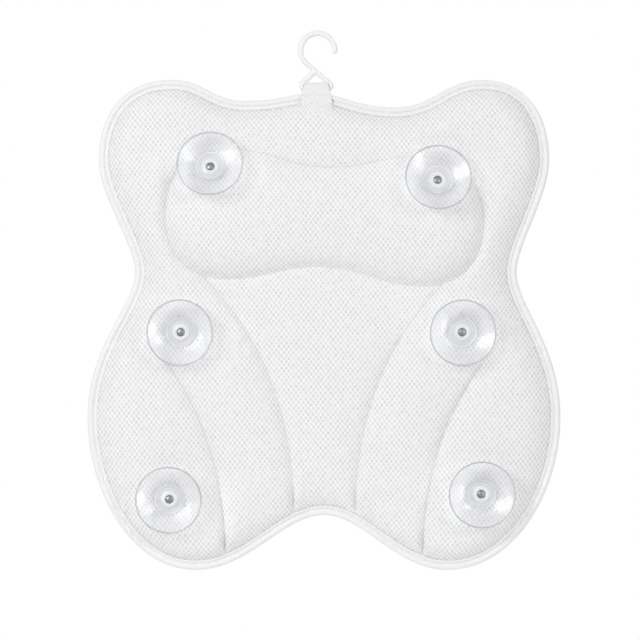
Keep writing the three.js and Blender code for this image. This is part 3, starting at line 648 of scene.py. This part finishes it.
def flatten_cloth(piece):
    """Unwraps a piece into a map called cloth, in metres."""
    piece.data.uv_layers.new(name="cloth")
    bpy.context.view_layer.objects.active = piece
    bpy.ops.object.mode_set(mode="EDIT")
    bpy.ops.mesh.select_all(action="SELECT")
    bpy.ops.uv.unwrap(method="MINIMUM_STRETCH", iterations=8, margin=0)
    bpy.ops.object.mode_set(mode="OBJECT")
    mesh = piece.data
    uv = np.empty(len(mesh.loops) * 2)
    mesh.uv_layers["cloth"].data.foreach_get("uv", uv)
    uv = uv.reshape(-1, 2)
    corners = uv.reshape(-1, 3, 2)
    sides = corners[:, 1:] - corners[:, :1]
    flat_area = np.abs(np.linalg.det(sides)).sum() / 2
    area = sum(face.area for face in mesh.polygons)
    loops = np.empty(len(mesh.loops), int)
    mesh.loops.foreach_get("vertex_index", loops)
    place = coordinates(mesh)[loops][:, (0, 2)]
    uv -= uv.mean(axis=0)
    place -= place.mean(axis=0)
    u, _, v = np.linalg.svd(uv.T @ place)
    uv = uv @ (u @ v) * math.sqrt(area / flat_area)
    mesh.uv_layers["cloth"].data.foreach_set("uv", uv.ravel())
    print(piece.name, "is", round(area * 1e4), "square centimetres of cloth")


def make_cover(name, side):
    height = pad_heights(side)
    sewn = ((seam_gap < ON_LINE) & (hold > 0.5)) | (edge_gap < ON_LINE)
    if side == 0:
        height, held = clamp_to_cups(height)
        sewn |= held
    bm = cover_bmesh(height, side)
    free = [v for v, fixed in zip(bm.verts, sewn) if not fixed]
    for _ in range(SMOOTH_PASSES):
        bmesh.ops.smooth_vert(bm, verts=free, factor=0.5, use_axis_y=True)
    cover = link_piece(name, bm, mesh_finish)
    puff(cover, sewn)
    flatten_cloth(cover)
    # Painted shade: 1 on a seam and fading out a short way off it; the finish darkens the cloth by it.
    painted_seam_shade = cover.data.attributes.new("painted_seam_shade", "FLOAT", "POINT")
    painted_seam_shade.data.foreach_set("value", np.clip(1 - seam_gap / PAINTED_SEAM_WIDTH, 0, 1) * hold)
    thickness = cover.modifiers.new("thickness", "SOLIDIFY")
    thickness.thickness = CLOTH_THICKNESS
    thickness.offset = -1
    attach(cover, "pillow")
    return cover


back_cover = make_cover("back_cover", 0)
front_cover = make_cover("front_cover", 1)
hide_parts("back_panel")
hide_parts("front_panel", "head_fill", "wing_fill", "centre_fill", "left_lobe_fill",
            "right_lobe_fill")

# %% [markdown]
# ## Bound edge
# A satin binding goes round the whole edge: a rolled cord on the outside and a flat welt that
# covers the raw edges of the two covers, with a row of stitches in the groove between them. This is
# what a Curve with a bevel profile is for: one line follows the outline, a second small curve is
# the cross-section, and the swept result is turned into a mesh. Its map runs along and around.

# %% Satin finish
def satin_finish(name, colour):
    finish, tree, shader = new_finish(name, colour, 0.5, {"Sheen Weight": 0.18, "Specular IOR Level": 0.35})
    cloth_map = add_node(tree, "UVMap", uv_map="cloth")
    slant = add_node(tree, "Mapping", {"Rotation": (0, 0, math.radians(38)), "Scale": (1 / MM, 1 / MM, 1)})
    twill = add_node(tree, "TexWave", {"Scale": 0.45, "Distortion": 0.6}, wave_type="BANDS",
                     bands_direction="X")
    stretch = add_node(tree, "Mapping", {"Scale": (0.30 / MM, 0.05 / MM, 1)})
    gather = noise(tree, 1)
    # Painted shade: the satin is a little darker in the troughs of the gathers, where the crease bump is
    # lowest.
    tone = blend(tree, toned(colour, 0.95), colour)
    thread = bump_of(tree, 0.25, 0.12)
    crease = bump_of(tree, 0.5, 0.7)
    wire(tree,
         (cloth_map, "UV", slant, "Vector"), (slant, "Vector", twill, "Vector"),
         (twill, "Fac", thread, "Height"), (thread, "Normal", crease, "Normal"),
         (cloth_map, "UV", stretch, "Vector"), (stretch, "Vector", gather, "Vector"),
         (gather, "Fac", tone, "Factor"), (tone, "Result", shader, "Base Color"),
         (gather, "Fac", crease, "Height"), (crease, "Normal", shader, "Normal"))
    return finish


satin = satin_finish("satin_binding", (0.88, 0.882, 0.88))

# %% Sweep the binding
ROLL_RADIUS = 2.45
GROOVE_DEPTH = 5.0
WELT_MIDDLE, WELT_WIDTH, WELT_HEIGHT = 6.9, 2.1, 2.2
WELT_END = (9.2, 0.9)
ROLL_ARC, WELT_ARC = (0, 157, 13), (26, 115, 10)  # first angle, last angle, points


def upper_section():
    """The upper half of the cross-section, as depth from the outline and height."""
    roll = [(ROLL_RADIUS - ROLL_RADIUS * math.cos(a), ROLL_RADIUS * math.sin(a))
            for a in np.radians(np.linspace(*ROLL_ARC))]
    welt = [(WELT_MIDDLE - WELT_WIDTH * math.cos(a), WELT_HEIGHT * math.sin(a))
            for a in np.radians(np.linspace(*WELT_ARC))]
    return roll + welt + [WELT_END]


def flat_curve(name, points):
    data = bpy.data.curves.new(name, "CURVE")
    data.dimensions = "3D"
    data.twist_mode = "Z_UP"
    line = data.splines.new("POLY")
    line.points.add(len(points) - 1)
    for point, (x, y) in zip(line.points, points):
        point.co = (x * MM, y * MM, 0, 1)
    line.use_cyclic_u = True
    helper = bpy.data.objects.new(name, data)
    scene.collection.objects.link(helper)
    return helper


half_section = upper_section()
section = np.array(half_section + [(d, -y) for d, y in half_section[:0:-1]])
groove_line = inset_line(outline, GROOVE_DEPTH)
round_length, section_length = line_length(joined(groove_line)), line_length(joined(section))
profile = flat_curve("binding_profile", section - (GROOVE_DEPTH, 0))
path = flat_curve("binding_path", groove_line)
path.data.bevel_mode = "OBJECT"
path.data.bevel_object = profile
swept = bpy.data.meshes.new_from_object(evaluated(path))
binding_place = PILLOW_PLACE - Vector((0, BINDING_LIFT * MM, 0))
swept.transform(Matrix.Translation(binding_place) @ Matrix.Rotation(math.pi / 2, 4, "X"))
for helper in (profile, path):
    bpy.data.objects.remove(helper)
print("swept through", len(groove_line), "sections of", len(section), "points")

# %% Finish the binding
binding_bm = bmesh.new()
binding_bm.from_mesh(swept)
bpy.data.meshes.remove(swept)
bmesh.ops.remove_doubles(binding_bm, verts=binding_bm.verts, dist=1e-6)
bmesh.ops.recalc_face_normals(binding_bm, faces=binding_bm.faces)
binding = link_piece("edge_binding", binding_bm, satin)
binding_map = binding.data.uv_layers[0]
binding_map.name = "cloth"
for corner in binding_map.data:
    corner.uv = (corner.uv[0] * round_length * MM, corner.uv[1] * section_length * MM)
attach(binding, "pillow")
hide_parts("edge_piping")
print("binding is", round(round_length), "mm round")

# %% [markdown]
# ## Hook
# The hook is one white plastic rod, bent in a plane: a round crest, a slanting shank, a bar for the
# tab and a leg that comes back and is welded to the shank. A ring of vertices is spun round the
# centre of each bend and extruded along each straight. A Remesh modifier then fuses the leg into the
# shank, and smoothing leaves the small fillet of a weld.

# %% Rod path
ROD_RADIUS = 2.26
CREST_CENTRE, CREST_RADIUS = (0, -11.2), 13.4
TIP_ANGLE, SHANK_ANGLE, LEG_ANGLE = -1, -40, 44
BEND_RADIUS = 3.2
RIGHT_BEND, LEFT_BEND = (6.83, -38.6), (-9.17, -38.6)


def plane_point(x, z):
    return Vector((x * MM, 0, z * MM))


def polar(centre, radius, degrees):
    angle = math.radians(degrees)
    return plane_point(centre[0] + radius * math.cos(angle), centre[1] + radius * math.sin(angle))


def spin_ring(bm, ring, centre, degrees, steps):
    """Carries a ring round a bend in the hook's plane and returns the last ring."""
    made = bmesh.ops.spin(bm, geom=ring, cent=plane_point(*centre), axis=(0, -1, 0),
                          angle=math.radians(degrees), steps=steps)
    return made["geom_last"]


def push_ring(bm, ring, travel, steps=1, swell=lambda share: 1):
    """Extrudes a ring along a straight, with a change of size at each step."""
    for step in range(1, steps + 1):
        edges = [item for item in ring if isinstance(item, bmesh.types.BMEdge)]
        ring = bmesh.ops.extrude_edge_only(bm, edges=edges)["geom"]
        ring = [item for item in ring if not isinstance(item, bmesh.types.BMFace)]
        verts = [item for item in ring if isinstance(item, bmesh.types.BMVert)]
        bmesh.ops.translate(bm, verts=verts, vec=travel / steps)
        middle = sum((v.co for v in verts), Vector()) / len(verts)
        size = swell(step / steps) / swell((step - 1) / steps)
        bmesh.ops.scale(bm, verts=verts, vec=(size,) * 3, space=Matrix.Translation(-middle))
    return ring


def close_ring(bm, ring):
    bmesh.ops.contextual_create(bm, geom=[i for i in ring if isinstance(i, bmesh.types.BMEdge)])


def round_end(share):
    return math.sqrt(max(1 - (share * 0.97) ** 2, 0.02))


# %% Bend the rod
rod = bmesh.new()
tip = polar(CREST_CENTRE, CREST_RADIUS, TIP_ANGLE)
upright = Vector((-math.sin(math.radians(TIP_ANGLE)), 0, math.cos(math.radians(TIP_ANGLE))))
start = Matrix.Translation(tip) @ upright.to_track_quat("Z", "Y").to_matrix().to_4x4()
ring = bmesh.ops.create_circle(rod, segments=24, radius=ROD_RADIUS * MM, matrix=start)["verts"]
first_ring = ring + list(rod.edges)
close_ring(rod, push_ring(rod, first_ring, -upright * ROD_RADIUS * 1.1 * MM, 6, round_end))
ring = spin_ring(rod, first_ring, CREST_CENTRE, SHANK_ANGLE + 270 - TIP_ANGLE, 60)
shank_end = polar(RIGHT_BEND, BEND_RADIUS, SHANK_ANGLE + 90)
shank = shank_end - polar(CREST_CENTRE, CREST_RADIUS, SHANK_ANGLE + 270)
ring = push_ring(rod, ring, shank, 6)
ring = spin_ring(rod, ring, RIGHT_BEND, -180 - SHANK_ANGLE, 20)
ring = push_ring(rod, ring, plane_point(*LEFT_BEND) - plane_point(*RIGHT_BEND), 4)
ring = spin_ring(rod, ring, LEFT_BEND, LEG_ANGLE - 180, 20)
leg_start = polar(LEFT_BEND, BEND_RADIUS, LEG_ANGLE + 90)
leg_run = polar((0, 0), 1, LEG_ANGLE)
weld = geometry.intersect_line_line(leg_start, leg_start + leg_run, shank_end, shank_end - shank)[0]
leg = weld - leg_start
close_ring(rod, push_ring(rod, ring, leg, 8, lambda share: 1 + 0.22 * max(0, share - 0.6)))
bmesh.ops.recalc_face_normals(rod, faces=rod.faces)
print("rod bent from", len(rod.faces), "faces")


# %% White plastic
def plastic_finish(name, colour, roughness, grain, seam=0.0):
    """Moulded plastic: a fine grain, soft changes of gloss, and a parting line at y = 0."""
    finish, tree, shader = new_finish(name, colour, roughness, {"Specular IOR Level": 0.3})
    place = add_node(tree, "TexCoord")
    flow = noise(tree, 90, 3)
    tone = blend(tree, toned(colour, 0.96), colour)
    gloss = add_node(tree, "MapRange", {"To Min": roughness - 0.07, "To Max": roughness + 0.09})
    pores = noise(tree, 1 / (grain * MM))
    bump = bump_of(tree, 0.12, 0.1)
    wire(tree,
         (place, "Object", flow, "Vector"), (flow, "Fac", tone, "Factor"),
         (tone, "Result", shader, "Base Color"),
         (flow, "Fac", gloss, "Value"), (gloss, "Result", shader, "Roughness"),
         (place, "Object", pores, "Vector"), (pores, "Fac", bump, "Height"),
         (bump, "Normal", shader, "Normal"))
    if seam:
        split = add_node(tree, "SeparateXYZ")
        off = add_node(tree, "Math", operation="ABSOLUTE")
        line = add_node(tree, "MapRange", {"From Max": seam * MM, "To Min": 1, "To Max": 0},
                        interpolation_type="SMOOTHSTEP")
        ridge = bump_of(tree, 0.35, 0.12)
        wire(tree,
             (place, "Object", split, "Vector"), (split, "Y", off, 0), (off, 0, line, "Value"),
             (line, "Result", ridge, "Height"), (bump, "Normal", ridge, "Normal"),
             (ridge, "Normal", shader, "Normal"))
    return finish


# %% Fuse the hook
white_plastic = plastic_finish("white_plastic", (0.89, 0.89, 0.888), 0.42, 0.35, seam=0.22)
hook_rod = link_piece("hook_rod", rod, white_plastic)
fuse = hook_rod.modifiers.new("fuse", "REMESH")
fuse.mode = "VOXEL"
fuse.voxel_size = 0.27 * MM
fuse.use_smooth_shade = True
ease = hook_rod.modifiers.new("ease", "SMOOTH")
ease.factor = 0.5
ease.iterations = 12
fused = bpy.data.meshes.new_from_object(evaluated(hook_rod))
hook_rod.modifiers.clear()
hook_rod.data = fused
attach(hook_rod, "hook")
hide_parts("hook")
print("hook_rod fused to", len(hook_rod.data.polygons), "faces")

# %% [markdown]
# ## Hanging tab
# A strip of the same mesh goes up from the back, folds round the bar of the hook and comes down
# the front. A grid is bent along that path. The strip keeps close to the bar until it is below the
# legs of the hook, and then clears the binding. Where it reaches the covers, rays find how high they
# stand, so it lies on them and its ends run out into them. It is narrow in the fold and spreads
# where it is sewn down.

# %% Path of the strip
FOLD_LEVEL = 4.2
STRIP_THICKNESS = 1.5
FOLD_RADIUS = 3.35
STRIP_END = -16.0
STRIP_CLEAR = (ROLL_RADIUS + BINDING_LIFT + 0.9, 3.4)
ROLL_TOP, ROLL_RUN = -0.5, 3.0
SIDE_TOP, SIDE_STEP, SINK_RUN = -1.0, 1.5, 6
SEWN_LEVEL, MAX_BOW = -9, 3
RAY_START = 0.1
STRIP_SHAPE = ([-17, -10, -4, 1, 5, 8], [14.0, 12.8, 12.0, 10.9, 9.8, 8.7])


def surface_of(piece):
    return bvhtree.BVHTree.FromObject(piece, bpy.context.evaluated_depsgraph_get())


def stand_off(surface, x, z, side):
    """How far a cover stands off the seam plane at a point of the pattern."""
    sign = SIGN[side]
    origin = PILLOW_PLACE + Vector((x * MM, sign * RAY_START, z * MM))
    hit = surface.ray_cast(origin, Vector((0, -sign, 0)))[0]
    return abs(hit.y) / MM if hit else 0.0


cover_surface = (surface_of(back_cover), surface_of(front_cover))


def strip_side(side):
    """Points (off the seam plane, height) from the fold down one cover."""
    levels = np.arange(SIDE_TOP, STRIP_END - 0.1, -SIDE_STEP)
    lift = []
    for level in levels:
        spots = [stand_off(cover_surface[side], TAB_MIDDLE + x, level, side) for x in (-6, 0, 6)]
        sink = smooth_step((level - STRIP_END) / SINK_RUN) - 0.5
        below = smooth_step((ROLL_TOP - level) / ROLL_RUN)
        clear = FOLD_RADIUS + (STRIP_CLEAR[side] - FOLD_RADIUS) * below
        lift.append(max(clear, np.mean(spots) + STRIP_THICKNESS * sink))
    return [(SIGN[side] * y, z) for y, z in zip(lift, levels)]


fold = [(FOLD_RADIUS * math.cos(a), FOLD_LEVEL + FOLD_RADIUS * math.sin(a))
        for a in np.radians(np.linspace(180, 0, 13))]
strip_path = spread(strip_side(0)[::-1] + fold + strip_side(1), 1.0)
strip_length = line_length(strip_path)
print("strip path", round(strip_length, 1), "mm")

# %% Bend the strip
strip_bm = bmesh.new()
bmesh.ops.create_grid(strip_bm, x_segments=14, y_segments=len(strip_path) - 1, size=1)
strip_map = strip_bm.loops.layers.uv.new("cloth")
flat_place = {}
for vert in strip_bm.verts:
    across, along = vert.co.x, (vert.co.y + 1) / 2 * (len(strip_path) - 1)
    y, z = strip_path[min(round(along), len(strip_path) - 1)]
    half = np.interp(z, *STRIP_SHAPE)
    flat_place[vert] = (across * half * MM, along * strip_length / (len(strip_path) - 1) * MM)
    if z < SEWN_LEVEL:
        side = int(y > 0)
        cover = stand_off(cover_surface[side], TAB_MIDDLE + across * half, z, side)
        middle = stand_off(cover_surface[side], TAB_MIDDLE, z, side)
        y += SIGN[side] * np.clip(cover - middle, -MAX_BOW, MAX_BOW)
    vert.co = PILLOW_PLACE + Vector(((TAB_MIDDLE + across * half) * MM, y * MM, z * MM))
for face in strip_bm.faces:
    for loop in face.loops:
        loop[strip_map].uv = flat_place[loop.vert]
inner = [v for v in strip_bm.verts if not v.is_boundary]
for _ in range(SMOOTH_PASSES):
    bmesh.ops.smooth_vert(strip_bm, verts=inner, factor=0.5, use_axis_y=True, use_axis_z=True)
bmesh.ops.recalc_face_normals(strip_bm, faces=strip_bm.faces)
strip_area = sum(face.calc_area() for face in strip_bm.faces)
strip = link_piece("tab_strip", strip_bm, tab_finish)
wall = strip.modifiers.new("wall", "SOLIDIFY")
wall.thickness = STRIP_THICKNESS * MM
wall.offset = 0
soften = strip.modifiers.new("soften", "SUBSURF")
soften.levels = soften.render_levels = 1
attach(strip, "pillow")
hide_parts("hanging_tab")

# %% [markdown]
# ## Suction cups
# A cup is moulded in clear soft plastic: a flat boss, a thin skirt that flares to a blunt lip and a
# collar round the rivet. One profile, spun all the way round, makes the cup. Its map holds the radius
# of every point, so the fine moulded rings are a sine of that radius. The thick boss is milky, the
# skirt is clear with a faint cool tint, and the lip is painted grey: painted shade for the dark line
# that clear plastic shows where it is seen edge on.

# %% Clear plastic
def clear_finish(name, thin, thick, clearness, roughness, pitch):
    """Soft clear plastic with moulded rings a pitch apart, tinted more where it is thick."""
    finish, tree, shader = new_finish(name, thin, roughness, {
        "Transmission Weight": clearness, "IOR": 1.2, "Coat Weight": 0.8, "Coat Roughness": 0.2})
    radius = add_node(tree, "UVMap", uv_map="turned")
    split = add_node(tree, "SeparateXYZ")
    turns = add_node(tree, "Math", {1: math.tau / (pitch * MM)}, operation="MULTIPLY")
    wave = add_node(tree, "Math", operation="SINE")
    share = add_node(tree, "MapRange", {"From Min": -1})
    tint = blend(tree, thin, thick)
    rings = bump_of(tree, 1, 0.012)
    place = add_node(tree, "TexCoord")
    haze = noise(tree, 140, 3)
    blur = add_node(tree, "MapRange", {"To Min": roughness, "To Max": roughness * 2})
    wire(tree,
         (radius, "UV", split, "Vector"), (split, "X", turns, 0), (turns, 0, wave, 0),
         (wave, 0, share, "Value"), (share, "Result", tint, "Factor"),
         (tint, "Result", shader, "Base Color"),
         (wave, 0, rings, "Height"), (rings, "Normal", shader, "Normal"),
         (place, "Object", haze, "Vector"), (haze, "Fac", blur, "Value"),
         (blur, "Result", shader, "Roughness"))
    return finish


CUP_FINISHES = [
    clear_finish("white_collar", (0.972, 0.972, 0.982), (0.885, 0.89, 0.925), 0.22, 0.3, 2.29),
    clear_finish("milky_boss", (0.985, 0.985, 0.995), (0.83, 0.85, 0.92), 0.55, 0.25, 2.29),
    clear_finish("clear_skirt", (0.98, 0.98, 0.992), (0.958, 0.96, 0.982), 0.92, 0.09, 0.8),
    # Painted shade: the lip is grey all through, for the dark line of clear plastic seen edge on.
    clear_finish("lip_edge_shade", (0.66, 0.655, 0.70), (0.63, 0.63, 0.68), 0.4, 0.1, 0.8),
]
FINISH_ENDS = [6.3, 11.6, 25.1]

# %% Spin the cups
CUP_STEPS = 96


def arc_between(first, last, sag, count):
    """A sagging line of (radius, height) points."""
    first, last = np.array(first), np.array(last)
    middle = (first + last) / 2 - (0, sag)
    shares = np.linspace(0, 1, count)
    return [tuple((1 - t) ** 2 * first + 2 * t * (1 - t) * middle + t * t * last) for t in shares]


def cup_profile():
    skirt = arc_between((10.5, 2.2), (25.9, 11.5), 2, 16)
    lip = [(26.0, 11.8), (26.0, 12.15), (25.8, 12.42), (25.45, 12.5), (25.0, 12.46)]
    bowl = arc_between((24.7, 12.3), (11.9, 4.9), 2, 20)
    floor_line = [(11.5, 5.2), (11.0, 5.25), (10.5, 4.95), (10.0, 4.5), (9.0, 4.4), (6.9, 4.4), (6.4, 4.55),
                  (6.2, 4.95)]
    collar = [(6.0, 5.1), (3.7, 5.1), (3.4, 4.8), (3.4, 3.4), (1.8, 3.4), (1.8, 0.1)]
    boss = [(10.1, 0.1), (10.4, 0.3), (10.5, 0.7)]
    return boss + skirt + lip + bowl + floor_line + collar


def turned(profile, steps, closed, place):
    """Spins (radius, height) points round +Z and sets the result in its place."""
    bm = bmesh.new()
    points = [bm.verts.new((r * MM, 0, h * MM)) for r, h in profile]
    edges = [bm.edges.new(pair) for pair in zip(points, points[1:])]
    if closed:
        edges.append(bm.edges.new((points[-1], points[0])))
    bmesh.ops.spin(bm, geom=points + edges, cent=(0, 0, 0), axis=(0, 0, 1), angle=math.tau, steps=steps,
                   use_merge=True)
    bmesh.ops.remove_doubles(bm, verts=bm.verts, dist=1e-6)
    bmesh.ops.recalc_face_normals(bm, faces=bm.faces)
    bmesh.ops.transform(bm, matrix=place, verts=bm.verts)
    return bm


def map_by_radius(bm, place):
    """Maps a turned piece by radius and height, and picks each face's finish by its radius."""
    home = place.inverted()
    turned_map = bm.loops.layers.uv.new("turned")
    for face in bm.faces:
        middle = home @ face.calc_center_median()
        face.material_index = int(np.searchsorted(FINISH_ENDS, middle.xy.length / MM))
        for loop in face.loops:
            spot = home @ loop.vert.co
            loop[turned_map].uv = (spot.xy.length, spot.z)


for name in CUP_NAMES:
    cup_bm = turned(cup_profile(), CUP_STEPS, True, cup_frame(name))
    map_by_radius(cup_bm, cup_frame(name))
    cup = link_piece(f"clear_cup_{name}", cup_bm)
    for cup_finish in CUP_FINISHES:
        cup.data.materials.append(cup_finish)
    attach(cup, f"cup_{name}")
    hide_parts(f"suction_cup_{name}")

# %% [markdown]
# ## Rivets and washers
# A small metal rivet holds each cup: a low dome over the collar, a shank through the cloth and a
# clinched end under a plastic washer inside. One profile is spun for all of it. The washers of the
# solids stay and get a finish of their own.

# %% Spin the rivets
def metal_finish(name, colour):
    finish, tree, shader = new_finish(name, colour, 0.36, {"Metallic": 1})
    place = add_node(tree, "TexCoord")
    wear = noise(tree, 900, 4)
    tone = blend(tree, toned(colour, 0.75), toned(colour, 1.2))
    gloss = add_node(tree, "MapRange", {"To Min": 0.26, "To Max": 0.48})
    scratch = bump_of(tree, 0.15, 0.05)
    wire(tree,
         (place, "Object", wear, "Vector"), (wear, "Fac", tone, "Factor"),
         (tone, "Result", shader, "Base Color"),
         (wear, "Fac", gloss, "Value"), (gloss, "Result", shader, "Roughness"),
         (wear, "Fac", scratch, "Height"), (scratch, "Normal", shader, "Normal"))
    return finish


RIVET_DOME = [(3.1 * math.sin(a), 3.95 + 1.4 * math.cos(a)) for a in np.radians(np.linspace(0, 90, 10))]
RIVET_PROFILE = RIVET_DOME + [(3.0, 3.74), (2.8, 3.7), (1.5, 3.7), (1.5, -4.1), (2.3, -4.1), (2.5, -4.35),
                              (2.45, -4.9), (2.1, -5.25), (1.2, -5.3), (0, -5.1)]

rivet_metal = metal_finish("rivet_metal", (0.25, 0.255, 0.265))
for name in CUP_NAMES:
    rivet = link_piece(f"rivet_{name}", turned(RIVET_PROFILE, 32, False, cup_frame(name)), rivet_metal)
    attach(rivet, "pillow")
    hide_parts(f"cup_rivet_{name}")

# %% Finish the washers
washer_plastic = plastic_finish("washer_plastic", (0.80, 0.80, 0.78), 0.5, 0.6)
for name in CUP_NAMES:
    washer = bpy.data.objects[f"backing_washer_{name}"]
    for part_slot in washer.material_slots:
        part_slot.material = washer_plastic
print("six washers finished")

# %% [markdown]
# ## Stitches
# Thread is what holds the quilting down. Each stitch is a small rounded dash, and the same dash is
# repeated along every seam of both covers and along the groove of the binding, a few millimetres
# apart. A ray from outside finds the cloth under each stitch.

# %% Sew the stitches
STITCH_PITCH, STITCH_LENGTH, THREAD = 3.4, 2.5, 0.42
STITCH_RISE = 0.08


def sew(bm, place, run, outward):
    """Adds one stitch that lies along a run."""
    run = run.normalized()
    turn = Matrix((run, outward.cross(run), outward)).transposed().to_4x4()
    size = Matrix.Diagonal((STITCH_LENGTH / 2 * MM, THREAD / 2 * MM, THREAD / 2 * MM, 1))
    bmesh.ops.create_icosphere(bm, subdivisions=1, radius=1, matrix=Matrix.Translation(place) @ turn @ size)


def stitch_row(bm, line, surface, side):
    outwards = Vector((0, SIGN[side], 0))
    marks = spread(line, STITCH_PITCH)
    for (x0, z0), (x1, z1) in zip(marks, marks[1:]):
        run = Vector((x1 - x0, 0, z1 - z0))
        above = PILLOW_PLACE + plane_point((x0 + x1) / 2, (z0 + z1) / 2) + outwards * RAY_START
        hit = surface.ray_cast(above, -outwards)[0]
        if hit:
            sew(bm, hit + outwards * STITCH_RISE * MM, run, outwards)


thread_finish = plastic_finish("thread", (0.92, 0.92, 0.915), 0.6, 0.3)
rim_surface = surface_of(binding)
for side, cover_name in enumerate(("back", "front")):
    seams_bm = bmesh.new()
    for line in (joined(head_seam), *open_seams):
        stitch_row(seams_bm, line, cover_surface[side], side)
    stitch_row(seams_bm, joined(groove_line), rim_surface, side)
    stitches = link_piece(f"{cover_name}_stitches", seams_bm, thread_finish)
    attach(stitches, "pillow")
